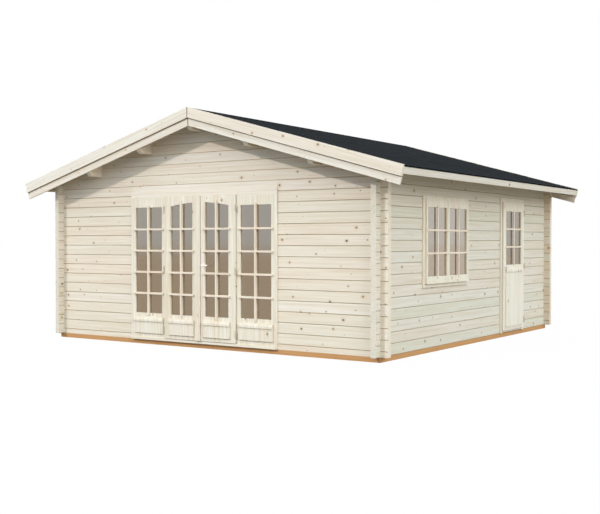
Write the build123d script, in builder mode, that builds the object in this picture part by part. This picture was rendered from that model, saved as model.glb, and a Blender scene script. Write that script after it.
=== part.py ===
from build123d import *

import os
from math import ceil, cos, radians, sin, tan

os.makedirs("parts", exist_ok=True)

# Log cabin: one room of machined logs under a shallow gable roof.
# Millimetres. The origin is the middle of the plan at ground level. +X is right, +Y is back.

# Walls
wall_length = 5340        # outer face to outer face, the same both ways
log_thickness = 70
log_height = 134          # what one course adds to the wall
log_end = 100             # how far a log runs on past the corner
groove = 9                # side of the square cut out at each joint
bearer_height = 62
bearer_width = 70
wall_above_head = 249     # from the joint over the side door up to the roof boards

# Roof
roof_angle = 15.7
eave_overhang = 444       # wall face to the ends of the bargeboards
gable_overhang = 272      # wall face to the face of the bargeboards
felt_thickness = 3
felt_drop = 6             # the felt lies this far under the bargeboards' top edge
felt_fold = 15            # turned down over the eave board
deck_thickness = 20
purlin_width = 70
purlin_depth = 255
purlin_places = (895, 1850)
purlin_bevel = 45
board_thickness = 20
cover_board_width = 130
bargeboard_depth = 227    # both boards together, square to the slope
barge_joint = 2
eave_setback = 12         # the felt's edge stands back from the bargeboards' ends
eave_board_width = 95

# Floor
floor_thickness = 28
floor_gap = 10
joist_count = 9

# Frames and leaves, the same at every door
casing_lap = 16           # how far a frame laps over the logs
frame_face = 20           # frames stand this far out of the wall
frame_depth = 90
leaf_face = 42            # leaves and sashes stand this far out of the wall
leaf_thickness = 42
leaf_gap = 6
lip_thickness = 17        # the leaf's outer layer, which laps over the frame
lip = 20
stop_width = 12
stop_gap = 8              # behind the closed leaf
threshold_height = 30
threshold_out = 36        # the front doors' threshold stands out past its frame
threshold_slot = 10       # open under the side door's threshold
glass_thickness = 4
panel_thickness = 16      # the low panels are boards planted on the leaves
panel_margin = 28         # beyond the pane on each side
weather_bar_height = 55
weather_bar_out = 27
weather_bar_top = 22

# Front door set
door_set_width = 2426     # the hole in the logs
door_set_top = 2040
head_height = 76
head_lap = 23
doorway_width = 1164      # between the inner posts
meeting_place = 28        # the gap between the leaves, right of the middle
sidelight_middle = 905
sidelight_pane = 480
sidelight_pane_low = 424
sidelight_pane_high = 1847
hinge_stile = 113
left_meeting_stile = 137
right_meeting_stile = 69
leaf_pane_low = 418
leaf_pane_high = 1849
arch_rise = 48
panel_low = 152
panel_high = 310
strip_width = 75
strip_thickness = 16

# Side door
side_door_front = 3479    # from the front wall's face
side_door_width = 844
side_door_top = 1995
side_post = 46
side_head_height = 56
side_stile = 105
side_pane_low = 1050
side_pane_high = 1829
side_panel_low = 150
side_panel_high = 945

# Window
window_front = 1046
window_width = 1286
window_low = 832
window_frame_width = 29
sash_stile = 42
sash_meeting_stile = 35
sash_rail = 92
sash_gap = 4
sash_sill_out = 8
sash_sill_height = 40

# Hinges, locks and levers
hinge_radius = 7
hinge_pin_radius = 4
hinge_stand_off = 1
hinge_length = 90
hinge_places = (217, 1015, 1812)
hinge_leg = 5
hinge_plate = 2
hinge_plate_width = 12
running_gap = 0.3
lock_plate_width = 44
lock_plate_thickness = 6
front_plate_low = 949
front_plate_high = 1229
front_lock_inset = 39
front_lever_height = 1082
side_plate_low = 886
side_plate_high = 1105
side_lock_inset = 43
side_lever_height = 1025
lever_thickness = 16
lever_length = 118
lever_reach = 45
lever_round = 6
spindle_radius = 5

# Worked out from the sizes above
half = wall_length / 2
inner = half - log_thickness
wall_middle = half - log_thickness / 2
log_reach = half + log_end
slope_sin = sin(radians(roof_angle))
slope_cos = cos(radians(roof_angle))
slope = tan(radians(roof_angle))
roof_layers = felt_drop + felt_thickness + deck_thickness
side_head_joint = bearer_height + ceil((side_door_top - bearer_height) / log_height) * log_height
window_top = side_head_joint - log_height
front_courses = ceil((door_set_top - bearer_height) / log_height + 0.5)
front_head_joint = bearer_height + (front_courses - 0.5) * log_height
ridge_height = side_head_joint + wall_above_head + half * slope + roof_layers / slope_cos
slope_length = (half + eave_overhang) / slope_cos
course_count = ceil((ridge_height - bearer_height) / log_height)
cover_face = half + gable_overhang
bargeboard_face = cover_face - board_thickness
purlin_end = bargeboard_face - board_thickness


def under_deck(x):
    """Height of the underside of the roof boards above a place x across the plan."""
    return ridge_height - roof_layers / slope_cos - abs(x) * slope


def roof_point(side, along, deep):
    """Point of a gable plane: so far down the slope, and so deep into the roof square to it."""
    x = along * slope_cos - deep * slope_sin
    return (side * x, ridge_height - along * slope_sin - deep * slope_cos)


def export(piece, name):
    piece.label = name
    export_step(piece, f"parts/{name}.step")


def timber(x, y, z):
    """Squared timber between two places on each axis."""
    with BuildPart(Plane.XY.offset(z[0])) as beam:
        with Locations(((x[0] + x[1]) / 2, (y[0] + y[1]) / 2)):
            Box(x[1] - x[0], y[1] - y[0], z[1] - z[0], align=(Align.CENTER, Align.CENTER, Align.MIN))
    return beam.part


# Log walls. The front and rear walls start with half a log and the side walls with a whole one.
# So at a corner each log's middle crosses the joint of the other wall, where it is notched.

front_joints = [bearer_height + (course - 0.5) * log_height for course in range(1, course_count + 1)]
side_joints = [bearer_height + course * log_height for course in range(course_count + 1)]


def log_section(middle, low, high, joints):
    """Upright section through a stack of logs, with a V groove in both faces at each joint."""
    seams = [(side * log_thickness / 2 + middle, joint) for joint in joints for side in (-1, 1)]
    with BuildSketch() as section:
        with Locations((middle, (low + high) / 2)):
            Rectangle(log_thickness, high - low)
        with Locations(*seams):
            Rectangle(groove, groove, rotation=45, mode=Mode.SUBTRACT)
    return section.sketch


def notch_places(run, low, high, joints):
    """Corners that a wall part reaches, and the joints there where half a log's height is cut out."""
    corners = [corner for corner in (-wall_middle, wall_middle) if run[0] < corner < run[1]]
    return [(corner, joint) for corner in corners for joint in joints if low - 1 < joint < high + 1]


def logs_across(y, run, low, high):
    """Part of the front or rear wall."""
    joints = [joint for joint in front_joints if low - 1 < joint < high + 1]
    with BuildPart() as wall:
        with BuildSketch(Plane.YZ.offset(run[0])):
            add(log_section(y, low, high, joints))
        extrude(amount=run[1] - run[0])
        notches = [(corner, y, joint) for corner, joint in notch_places(run, low, high, joints)]
        if notches:
            with Locations(*notches):
                Box(log_thickness, log_thickness, log_height / 2, mode=Mode.SUBTRACT)
    return wall.part


def logs_along(x, run, low, high):
    """Part of a side wall."""
    joints = [joint for joint in side_joints if low - 1 < joint < high + 1]
    with BuildPart() as wall:
        with BuildSketch(Plane.XZ.offset(-run[1])):
            add(log_section(x, low, high, joints))
        extrude(amount=run[1] - run[0])
        notches = [(x, corner, joint) for corner, joint in notch_places(run, low, high, joints)]
        if notches:
            with Locations(*notches):
                Box(log_thickness, log_thickness, log_height / 2, mode=Mode.SUBTRACT)
    return wall.part


def below_roof(logs):
    """Cuts a wall or a purlin off along the underside of the roof boards."""
    with BuildPart() as cut:
        add(logs)
        for side in (-1, 1):
            slope_plane = Plane(origin=(0, 0, under_deck(0)), z_dir=(side * slope_sin, 0, slope_cos))
            split(bisect_by=slope_plane, keep=Keep.BOTTOM)
    return cut.part


def let_purlins_through(logs):
    """Notches a gable for the five purlins."""
    places = [0] + [side * place for place in purlin_places for side in (-1, 1)]
    with BuildPart() as gable:
        add(below_roof(logs))
        with Locations(*[(place, 0, under_deck(place) - purlin_depth) for place in places]):
            Box(purlin_width, 2 * purlin_end, 2 * purlin_depth,
                align=(Align.CENTER, Align.CENTER, Align.MIN), mode=Mode.SUBTRACT)
    return gable.part


set_half = door_set_width / 2
whole_run = (-log_reach, log_reach)

with BuildPart() as front_gable:
    add(logs_across(-wall_middle, whole_run, front_head_joint, ridge_height))
    add(logs_across(-wall_middle, (-set_half, set_half), door_set_top, front_head_joint))
export(let_purlins_through(front_gable.part), "front_gable")
export(logs_across(-wall_middle, (-log_reach, -set_half), bearer_height, front_head_joint), "front_wall_left")
export(logs_across(-wall_middle, (set_half, log_reach), bearer_height, front_head_joint), "front_wall_right")

rear_logs = logs_across(wall_middle, whole_run, bearer_height, ridge_height)
export(let_purlins_through(rear_logs), "rear_wall")
export(below_roof(logs_along(-wall_middle, whole_run, bearer_height, ridge_height)), "left_wall")

window_run = (window_front - half, window_front + window_width - half)
side_door_run = (side_door_front - half, side_door_front + side_door_width - half)
right_wall_parts = {
    "right_wall_front": ((-log_reach, window_run[0]), bearer_height, window_top),
    "right_wall_under_window": (window_run, bearer_height, window_low),
    "right_wall_middle": ((window_run[1], side_door_run[0]), bearer_height, window_top),
    "right_wall_head": ((-log_reach, side_door_run[0]), window_top, side_head_joint),
    "right_wall_rear": ((side_door_run[1], log_reach), bearer_height, side_head_joint),
}
for name, (run, low, high) in right_wall_parts.items():
    export(logs_along(wall_middle, run, low, high), name)

with BuildPart() as right_wall_top:
    add(logs_along(wall_middle, whole_run, side_head_joint, ridge_height))
    add(logs_along(wall_middle, side_door_run, side_door_top, side_head_joint))
export(below_roof(right_wall_top.part), "right_wall_top")

# Bearers, joists and floor

bearer_middle = half - bearer_width / 2
with BuildPart() as bearers:
    with Locations((0, -bearer_middle), (0, bearer_middle)):
        Box(wall_length, bearer_width, bearer_height, align=(Align.CENTER, Align.CENTER, Align.MIN))
export(bearers.part, "bearers")

with BuildPart() as floor_joists:
    with GridLocations(2 * bearer_middle / (joist_count - 1), 1, joist_count, 1):
        Box(bearer_width, wall_length - 2 * bearer_width, bearer_height,
            align=(Align.CENTER, Align.CENTER, Align.MIN))
export(floor_joists.part, "floor_joists")

floor_edge = (floor_gap - inner, inner - floor_gap)
export(timber(floor_edge, floor_edge, (bearer_height, bearer_height + floor_thickness)), "floor")

# Roof


def purlin(place):
    """Deep timber through both gables, planed to the roof above, its lower ends bevelled."""
    low = under_deck(place) - purlin_depth
    with BuildPart() as beam:
        with BuildSketch(Plane.YZ.offset(place - purlin_width / 2)):
            with Locations((0, (low + ridge_height) / 2)):
                Rectangle(2 * purlin_end, ridge_height - low)
        extrude(amount=purlin_width)
        chamfer(beam.faces().sort_by(Axis.Z)[0].edges().filter_by(Axis.X), purlin_bevel)
    return below_roof(beam.part)


export(purlin(0), "ridge_purlin")
for side, hand in ((-1, "left"), (1, "right")):
    for place, level in zip(purlin_places, ("upper", "lower")):
        export(purlin(side * place), f"{hand}_{level}_purlin")


def roof_layer(points, y):
    """Straight piece of the roof: its outline in the gable plane, drawn out between two places in Y."""
    with BuildPart() as layer:
        with BuildSketch(Plane.XZ.offset(-y[1])):
            with BuildLine():
                Polyline(*points, close=True)
            make_face()
        extrude(amount=y[1] - y[0])
    return layer.part


def slope_outline(side, end, deep, ridge_gap=0):
    """Outline of a layer from a plumb cut at the ridge to a square cut at the eave."""
    starts = [(level * slope + ridge_gap / slope_cos, level) for level in deep]
    corners = [starts[0], (end, deep[0]), (end, deep[1]), starts[1]]
    return [roof_point(side, along, level) for along, level in corners]


felt_end = slope_length - eave_setback
eave_board_end = felt_end - felt_thickness
deck_end = eave_board_end - board_thickness
deck_top = felt_drop + felt_thickness


def felt_outline(side):
    """Sheet of felt over one slope, turned down over the eave board."""
    corners = [(felt_drop * slope, felt_drop), (felt_end, felt_drop),
               (felt_end, deck_top + felt_fold), (eave_board_end, deck_top + felt_fold),
               (eave_board_end, deck_top), (deck_top * slope, deck_top)]
    return [roof_point(side, along, level) for along, level in corners]


def eave_outline(side):
    corners = [(deck_end, deck_top), (eave_board_end, deck_top),
               (eave_board_end, deck_top + eave_board_width), (deck_end, deck_top + eave_board_width)]
    return [roof_point(side, along, level) for along, level in corners]


under_felt = (-bargeboard_face, bargeboard_face)
for side, hand in ((-1, "left"), (1, "right")):
    deck = slope_outline(side, deck_end, (deck_top, roof_layers))
    export(roof_layer(deck, under_felt), f"roof_boards_{hand}")
    export(roof_layer(felt_outline(side), under_felt), f"roof_felt_{hand}")
    export(roof_layer(eave_outline(side), (-purlin_end, purlin_end)), f"eave_board_{hand}")

    bargeboard = slope_outline(side, slope_length, (roof_layers, bargeboard_depth), barge_joint / 2)
    cover_board = slope_outline(side, slope_length, (0, cover_board_width), barge_joint / 2)
    export(roof_layer(bargeboard, (-bargeboard_face, -purlin_end)), f"front_{hand}_bargeboard")
    export(roof_layer(bargeboard, (purlin_end, bargeboard_face)), f"rear_{hand}_bargeboard")
    export(roof_layer(cover_board, (-cover_face, -bargeboard_face)), f"front_{hand}_cover_board")
    export(roof_layer(cover_board, (bargeboard_face, cover_face)), f"rear_{hand}_cover_board")

# Front door set. Everything stands out of the wall by a named amount, towards -Y.

front = -half
frame_y = (front - frame_face, front - frame_face + frame_depth)
leaf_y = (front - leaf_face, front - leaf_face + leaf_thickness)
lip_y = (leaf_y[0], leaf_y[0] + lip_thickness)
stop_y = (leaf_y[1] + stop_gap, frame_y[1])
doorway = doorway_width / 2
threshold_top = bearer_height + threshold_height
head_low = door_set_top - head_height

with BuildPart() as door_threshold:
    add(timber((-set_half, set_half), (front - threshold_out, frame_y[1]), (bearer_height, threshold_top)))
    add(timber((-doorway, doorway), stop_y, (threshold_top, threshold_top + stop_width)))
export(door_threshold.part, "door_threshold")

with BuildPart() as door_head:
    add(timber((-set_half, set_half), frame_y, (head_low, door_set_top)))
    add(timber((-set_half - casing_lap, set_half + casing_lap), (frame_y[0], front),
               (head_low, door_set_top + head_lap)))
    add(timber((-doorway, doorway), stop_y, (head_low - stop_width, head_low)))
export(door_head.part, "door_head")


def on_front(x, z, out, thickness):
    """Board planted on a front face that stands out of the wall, towards -Y."""
    return timber(x, (front - out - thickness, front - out), z)


def weather_bar(x, high, out):
    """Rail under a pane that throws the rain off: upright below, with a sloped top."""
    face = front - out
    with BuildPart() as bar:
        with BuildSketch(Plane.YZ.offset(x[0])):
            with BuildLine():
                Polyline((face, high), (face - weather_bar_top, high),
                         (face - weather_bar_out, high - weather_bar_height / 2),
                         (face - weather_bar_out, high - weather_bar_height),
                         (face, high - weather_bar_height), close=True)
            make_face()
        extrude(amount=x[1] - x[0])
    return bar.part


def sidelight(side):
    """Fixed light beside the doors: posts and rails round a pane, with a planted panel below."""
    edges = sorted((side * doorway, side * set_half))
    posts_z = (threshold_top + head_low) / 2
    pane_z = (sidelight_pane_low + sidelight_pane_high) / 2
    panel_x = (side * sidelight_middle - sidelight_pane / 2 - panel_margin,
               side * sidelight_middle + sidelight_pane / 2 + panel_margin)
    with BuildPart() as light:
        with BuildSketch(Plane.XZ.offset(-frame_y[1])):
            with Locations(((edges[0] + edges[1]) / 2, posts_z)):
                Rectangle(edges[1] - edges[0], head_low - threshold_top)
            with Locations((side * sidelight_middle, pane_z)):
                Rectangle(sidelight_pane, sidelight_pane_high - sidelight_pane_low, mode=Mode.SUBTRACT)
        extrude(amount=frame_depth)
        add(timber(sorted((side * set_half, side * (set_half + casing_lap))), (frame_y[0], front),
                   (bearer_height, head_low)))
        add(timber(sorted((side * (doorway - stop_width), side * doorway)), stop_y,
                   (threshold_top + stop_width, head_low - stop_width)))
        add(on_front(panel_x, (panel_low, panel_high), frame_face, panel_thickness))
        add(weather_bar(panel_x, panel_high + weather_bar_height, frame_face))
    return light.part


export(sidelight(-1), "left_sidelight")
export(sidelight(1), "right_sidelight")

with BuildPart() as sidelight_glass:
    with BuildSketch(Plane.XZ.offset(-front)):
        with GridLocations(2 * sidelight_middle, 1, 2, 1):
            with Locations((0, (sidelight_pane_low + sidelight_pane_high) / 2)):
                Rectangle(sidelight_pane, sidelight_pane_high - sidelight_pane_low)
    extrude(amount=glass_thickness)
export(sidelight_glass.part, "sidelight_glass")

leaf_low = threshold_top + leaf_gap
body_top = head_low - leaf_gap
lip_top = head_low + lip
left_body = (leaf_gap - doorway, meeting_place - leaf_gap / 2)
right_body = (meeting_place + leaf_gap / 2, doorway - leaf_gap)
left_lip = (-doorway - lip, left_body[1])
right_lip = (right_body[0], doorway + lip)


def arch_height(x):
    """Underside of the one shallow arch over both leaves' panes."""
    reach = doorway + lip - hinge_stile
    return leaf_pane_high + arch_rise * (1 - (x / reach) ** 2)


def arched_pane(pane):
    """Face of a pane that is square below and follows the arch above."""
    middle = (pane[0] + pane[1]) / 2
    ends = [(x, arch_height(x)) for x in pane]
    with BuildSketch() as outline:
        with BuildLine():
            Polyline(ends[0], (pane[0], leaf_pane_low), (pane[1], leaf_pane_low), ends[1])
            ThreePointArc(ends[1], (middle, arch_height(middle)), ends[0])
        make_face()
    return outline.sketch


def entry_leaf(body, lip_x, pane):
    """Rebated leaf: its outer layer laps over the frame, and a panel is planted under the pane."""
    panel_x = (pane[0] - panel_margin, pane[1] + panel_margin)
    with BuildPart() as leaf:
        add(timber(body, leaf_y, (leaf_low, body_top)))
        add(timber(lip_x, lip_y, (leaf_low, lip_top)))
        with BuildSketch(Plane.XZ.offset(-leaf_y[1])):
            add(arched_pane(pane))
        extrude(amount=leaf_thickness, mode=Mode.SUBTRACT)
        add(on_front(panel_x, (panel_low, panel_high), leaf_face, panel_thickness))
        add(weather_bar(panel_x, panel_high + weather_bar_height, leaf_face))
    return leaf.part


def entry_glass(pane):
    with BuildPart() as glass:
        with BuildSketch(Plane.XZ.offset(-(leaf_y[0] + leaf_y[1] + glass_thickness) / 2)):
            add(arched_pane(pane))
        extrude(amount=glass_thickness)
    return glass.part


left_pane = (left_lip[0] + hinge_stile, left_body[1] - left_meeting_stile)
right_pane = (right_body[0] + right_meeting_stile, right_lip[1] - hinge_stile)
export(entry_leaf(left_body, left_lip, left_pane), "left_leaf")
export(entry_leaf(right_body, right_lip, right_pane), "right_leaf")
export(entry_glass(left_pane), "left_leaf_glass")
export(entry_glass(right_pane), "right_leaf_glass")

strip_x = (left_body[1] - strip_width, left_body[1])
export(on_front(strip_x, (leaf_low, lip_top), leaf_face, strip_thickness), "meeting_strip")

# Side door, in the right wall. Here everything stands out of the wall towards +X.

right = half
side_frame_x = (right + frame_face - frame_depth, right + frame_face)
side_leaf_x = (right + leaf_face - leaf_thickness, right + leaf_face)
side_stop_x = (side_frame_x[0], side_leaf_x[0] - stop_gap)
side_head_low = side_door_top - side_head_height
side_middle = (side_door_run[0] + side_door_run[1]) / 2
side_opening = side_door_width - 2 * side_post


def side_rectangle(width, low, high, mode=Mode.ADD):
    """Rectangle about the side door's middle, in a sketch that looks along X."""
    with Locations((side_middle, (low + high) / 2)):
        Rectangle(width, high - low, mode=mode)


with BuildPart() as side_door_frame:
    with BuildSketch(Plane.YZ.offset(side_frame_x[0])):
        side_rectangle(side_door_width, bearer_height, side_door_top)
        side_rectangle(side_opening, threshold_top, side_head_low, Mode.SUBTRACT)
        side_rectangle(side_opening, bearer_height, bearer_height + threshold_slot, Mode.SUBTRACT)
    extrude(amount=frame_depth)
    with BuildSketch(Plane.YZ.offset(right)):
        side_rectangle(side_door_width + 2 * casing_lap, bearer_height, side_door_top + head_lap)
        side_rectangle(side_door_width, bearer_height, side_door_top, Mode.SUBTRACT)
    extrude(amount=frame_face)
    with BuildSketch(Plane.YZ.offset(side_stop_x[0])):
        side_rectangle(side_opening, threshold_top, side_head_low)
        side_rectangle(side_opening - 2 * stop_width, threshold_top + stop_width,
                       side_head_low - stop_width, Mode.SUBTRACT)
    extrude(amount=side_stop_x[1] - side_stop_x[0])
export(side_door_frame.part, "side_door_frame")

side_body = side_opening - 2 * leaf_gap
side_lip = side_opening + 2 * lip
side_pane = side_lip - 2 * side_stile
side_lip_y = (side_middle - side_lip / 2, side_middle + side_lip / 2)


def side_weather_bar(width, high):
    """The rail under the side door's pane, with a sloped top."""
    face = side_leaf_x[1]
    with BuildPart() as bar:
        with BuildSketch(Plane.XZ.offset(-side_middle - width / 2)):
            with BuildLine():
                Polyline((face, high), (face + weather_bar_top, high),
                         (face + weather_bar_out, high - weather_bar_height / 2),
                         (face + weather_bar_out, high - weather_bar_height),
                         (face, high - weather_bar_height), close=True)
            make_face()
        extrude(amount=width)
    return bar.part


with BuildPart() as side_leaf:
    with BuildSketch(Plane.YZ.offset(side_leaf_x[0])):
        side_rectangle(side_body, leaf_low, side_head_low - leaf_gap)
    extrude(amount=leaf_thickness)
    with BuildSketch(Plane.YZ.offset(side_leaf_x[1] - lip_thickness)):
        side_rectangle(side_lip, leaf_low, side_head_low + lip)
    extrude(amount=lip_thickness)
    with BuildSketch(Plane.YZ.offset(side_leaf_x[0])):
        side_rectangle(side_pane, side_pane_low, side_pane_high)
    extrude(amount=leaf_thickness, mode=Mode.SUBTRACT)
    with BuildSketch(Plane.YZ.offset(side_leaf_x[1])):
        side_rectangle(side_pane + 2 * panel_margin, side_panel_low, side_panel_high)
    extrude(amount=panel_thickness)
    add(side_weather_bar(side_pane + 2 * panel_margin, side_panel_high + weather_bar_height))
export(side_leaf.part, "side_leaf")

with BuildPart() as side_leaf_glass:
    with BuildSketch(Plane.YZ.offset((side_leaf_x[0] + side_leaf_x[1] - glass_thickness) / 2)):
        side_rectangle(side_pane, side_pane_low, side_pane_high)
    extrude(amount=glass_thickness)
export(side_leaf_glass.part, "side_leaf_glass")

# Window: two sashes closed in one frame, with a shallow sloped sill under each

window_middle = (window_run[0] + window_run[1]) / 2
window_level = (window_low + window_top) / 2
window_height = window_top - window_low
sash_low = window_low + window_frame_width
with BuildPart() as window_frame:
    with BuildSketch(Plane.YZ.offset(side_frame_x[0])):
        with Locations((window_middle, window_level)):
            Rectangle(window_width, window_height)
            Rectangle(window_width - 2 * window_frame_width, window_height - 2 * window_frame_width,
                      mode=Mode.SUBTRACT)
    extrude(amount=frame_depth)
    with BuildSketch(Plane.YZ.offset(right)):
        with Locations((window_middle, window_level)):
            Rectangle(window_width + 2 * casing_lap, window_height + 2 * casing_lap)
            Rectangle(window_width, window_height, mode=Mode.SUBTRACT)
    extrude(amount=frame_face)
export(window_frame.part, "window_frame")

sash_width = window_width / 2 - window_frame_width - sash_gap / 2
sash_height = window_height - 2 * window_frame_width
sash_pane = (sash_width - sash_stile - sash_meeting_stile, sash_height - 2 * sash_rail)
sash_shift = (sash_width + sash_gap) / 2
pane_shift = sash_gap / 2 + sash_meeting_stile + sash_pane[0] / 2

with BuildPart() as window_sashes:
    with BuildSketch(Plane.YZ.offset(side_leaf_x[0])):
        with Locations((window_middle, window_level)):
            with GridLocations(2 * sash_shift, 1, 2, 1):
                Rectangle(sash_width, sash_height)
            with GridLocations(2 * pane_shift, 1, 2, 1):
                Rectangle(*sash_pane, mode=Mode.SUBTRACT)
    extrude(amount=leaf_thickness)
    for shift in (-sash_shift, sash_shift):
        with BuildSketch(Plane.XZ.offset(-window_middle - shift - sash_width / 2)):
            with BuildLine():
                Polyline((side_leaf_x[1], sash_low), (side_leaf_x[1] + sash_sill_out, sash_low),
                         (side_leaf_x[1] + sash_sill_out, sash_low + sash_sill_height / 2),
                         (side_leaf_x[1], sash_low + sash_sill_height), close=True)
            make_face()
        extrude(amount=sash_width)
export(window_sashes.part, "window_sashes")

with BuildPart() as window_glass:
    with BuildSketch(Plane.YZ.offset((side_leaf_x[0] + side_leaf_x[1] - glass_thickness) / 2)):
        with Locations((window_middle, window_level)):
            with GridLocations(2 * pane_shift, 1, 2, 1):
                Rectangle(*sash_pane)
    extrude(amount=glass_thickness)
export(window_glass.part, "window_glass")

# Hinges: the lower half stands on the frame by a leg, and the upper half turns with the leaf

hinge_out = leaf_face + hinge_radius + hinge_stand_off
hinge_inset = doorway + lip + leaf_gap / 2
front_axis = (hinge_inset, front - hinge_out)
side_axis = (right + hinge_out, side_lip_y[1] + leaf_gap / 2)


def knuckles(x, y, tie, low):
    """Half of each hinge on one axis: a knuckle with the flat that ties it on."""
    with BuildPart() as halves:
        for place in hinge_places:
            with BuildSketch(Plane.XY.offset(place + low)):
                with Locations((x, y)):
                    Circle(hinge_radius)
                with Locations(((tie[0] + tie[1]) / 2, (tie[2] + tie[3]) / 2)):
                    Rectangle(tie[1] - tie[0], tie[3] - tie[2])
            extrude(amount=hinge_length / 2 - running_gap)
    return halves.part


def hinge_pins(x, y, radius):
    """Rods on one axis, as long as the hinges."""
    with BuildPart() as pins:
        for place in hinge_places:
            with BuildSketch(Plane.XY.offset(place - hinge_length / 2)):
                with Locations((x, y)):
                    Circle(radius)
            extrude(amount=hinge_length)
    return pins.part


def lower_halves(x, y, tie):
    """Knuckles on the frame, with the pins fixed in them."""
    with BuildPart() as halves:
        add(knuckles(x, y, tie, -hinge_length / 2))
        add(hinge_pins(x, y, hinge_pin_radius))
    return halves.part


def upper_halves(x, y, tie):
    """Knuckles on the leaf, bored to turn on the pins."""
    with BuildPart() as halves:
        add(knuckles(x, y, tie, running_gap))
        add(hinge_pins(x, y, hinge_pin_radius + running_gap), mode=Mode.SUBTRACT)
    return halves.part


def leaf_flat(side):
    """Flat of a front hinge, on the leaf's face."""
    edges = sorted((side * (front_axis[0] - hinge_plate_width), side * front_axis[0]))
    return (*edges, leaf_y[0] - hinge_plate, leaf_y[0])


def frame_leg(side):
    """Leg of a front hinge, which runs back to the post."""
    leg_start = front_axis[0] + leaf_gap / 2
    edges = sorted((side * leg_start, side * (leg_start + hinge_leg)))
    return (*edges, front_axis[1], frame_y[0])


with BuildPart() as front_frame_hinges:
    for side in (-1, 1):
        add(lower_halves(side * front_axis[0], front_axis[1], frame_leg(side)))
export(front_frame_hinges.part, "front_frame_hinges")
export(upper_halves(-front_axis[0], front_axis[1], leaf_flat(-1)), "left_leaf_hinges")
export(upper_halves(*front_axis, leaf_flat(1)), "right_leaf_hinges")

side_leg_start = side_axis[1] + leaf_gap / 2
side_leg = (side_frame_x[1], side_axis[0], side_leg_start, side_leg_start + hinge_leg)
side_flat = (side_leaf_x[1], side_leaf_x[1] + hinge_plate, side_axis[1] - hinge_plate_width, side_axis[1])
export(lower_halves(*side_axis, side_leg), "side_frame_hinges")
export(upper_halves(*side_axis, side_flat), "side_leaf_hinges")

# Locks: a tall plate on the leaf, and a cranked lever whose spindle runs through the plate


def lock_plate(plane, place, low, high, lever_place):
    """Plate with rounded corners and the hole for the spindle."""
    with BuildPart() as plate:
        with BuildSketch(plane):
            with Locations((place, (low + high) / 2)):
                RectangleRounded(lock_plate_width, high - low, lever_round)
            with Locations((place, lever_place)):
                Circle(spindle_radius + running_gap, mode=Mode.SUBTRACT)
        extrude(amount=lock_plate_thickness)
    return plate.part


def lever(face_plane, grip_plane, place, height):
    """Spindle out of the plate, and a grip that runs sideways from its end."""
    with BuildPart() as handle:
        with BuildSketch(face_plane):
            with Locations((place, height)):
                Circle(spindle_radius)
        extrude(amount=lock_plate_thickness + lever_reach)
        with BuildSketch(grip_plane):
            with Locations((place + (lever_length - lever_thickness) / 2, height)):
                RectangleRounded(lever_length, lever_thickness, lever_round)
        extrude(amount=lever_thickness)
    return handle.part


front_lock = right_body[0] + front_lock_inset
grip_out = lock_plate_thickness + lever_reach - lever_thickness / 2
export(lock_plate(Plane.XZ.offset(-leaf_y[0]), front_lock, front_plate_low, front_plate_high,
                  front_lever_height), "front_lock_plate")
export(lever(Plane.XZ.offset(-leaf_y[0] + running_gap), Plane.XZ.offset(-leaf_y[0] + grip_out),
             front_lock, front_lever_height), "front_lever")

side_lock = side_lip_y[0] + side_lock_inset
export(lock_plate(Plane.YZ.offset(side_leaf_x[1]), side_lock, side_plate_low, side_plate_high,
                  side_lever_height), "side_lock_plate")
export(lever(Plane.YZ.offset(side_leaf_x[1] + running_gap), Plane.YZ.offset(side_leaf_x[1] + grip_out),
             side_lock, side_lever_height), "side_lever")
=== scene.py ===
# %% [markdown]
# # A log cabin, finished over its solid model
# The solid model gives every timber its place and size. This script adds what a joiner, a roofer
# and a locksmith would add: the look of sawn spruce, the boards, the glazing bars, the felt with
# its laps and nails, and the door furniture. Lengths are in metres, in the solid model's own frame.

import math
import random

import bmesh
import bpy
from mathutils import Matrix, Vector


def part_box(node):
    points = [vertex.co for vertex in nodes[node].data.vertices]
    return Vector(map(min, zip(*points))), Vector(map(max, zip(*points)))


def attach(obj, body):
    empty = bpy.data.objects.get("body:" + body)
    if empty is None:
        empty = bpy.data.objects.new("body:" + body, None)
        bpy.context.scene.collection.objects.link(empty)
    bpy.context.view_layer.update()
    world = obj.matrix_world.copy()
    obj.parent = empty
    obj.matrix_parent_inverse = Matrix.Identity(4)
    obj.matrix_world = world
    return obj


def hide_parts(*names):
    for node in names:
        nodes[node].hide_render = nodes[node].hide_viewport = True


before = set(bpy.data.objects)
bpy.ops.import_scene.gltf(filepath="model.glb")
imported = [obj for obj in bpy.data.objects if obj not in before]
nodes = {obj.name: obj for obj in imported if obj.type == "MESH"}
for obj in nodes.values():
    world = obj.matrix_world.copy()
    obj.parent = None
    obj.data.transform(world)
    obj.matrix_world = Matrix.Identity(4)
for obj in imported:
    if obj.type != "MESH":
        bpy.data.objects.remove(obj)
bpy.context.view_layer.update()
print("solid pieces:", len(nodes))

# %% [markdown]
# Colours are written as on a paint card, in sRGB hex. Blender mixes light in linear values, so one
# function turns a hex colour into linear ones. A second small function adds a shader node, because
# a material is then read like a recipe: what each node is, and what feeds it.

# %% Colour and node helpers


def linear(hex_colour):
    """Linear RGBA of an sRGB hex colour."""
    channels = [int(hex_colour[i : i + 2], 16) / 255 for i in (1, 3, 5)]
    return [c / 12.92 if c <= 0.04045 else ((c + 0.055) / 1.055) ** 2.4 for c in channels] + [1.0]


def add(tree, kind, inputs=None, **settings):
    """Adds a node with its settings, and fills or links its inputs."""
    made = tree.nodes.new(kind)
    for name, value in settings.items():
        setattr(made, name, value)
    for socket, value in (inputs or {}).items():
        if isinstance(value, bpy.types.NodeSocket):
            tree.links.new(value, made.inputs[socket])
        else:
            made.inputs[socket].default_value = value
    return made


def sums(tree, operation, *values):
    """One arithmetic step on numbers or sockets."""
    return add(tree, "ShaderNodeMath", dict(enumerate(values)), operation=operation).outputs[0]


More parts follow.
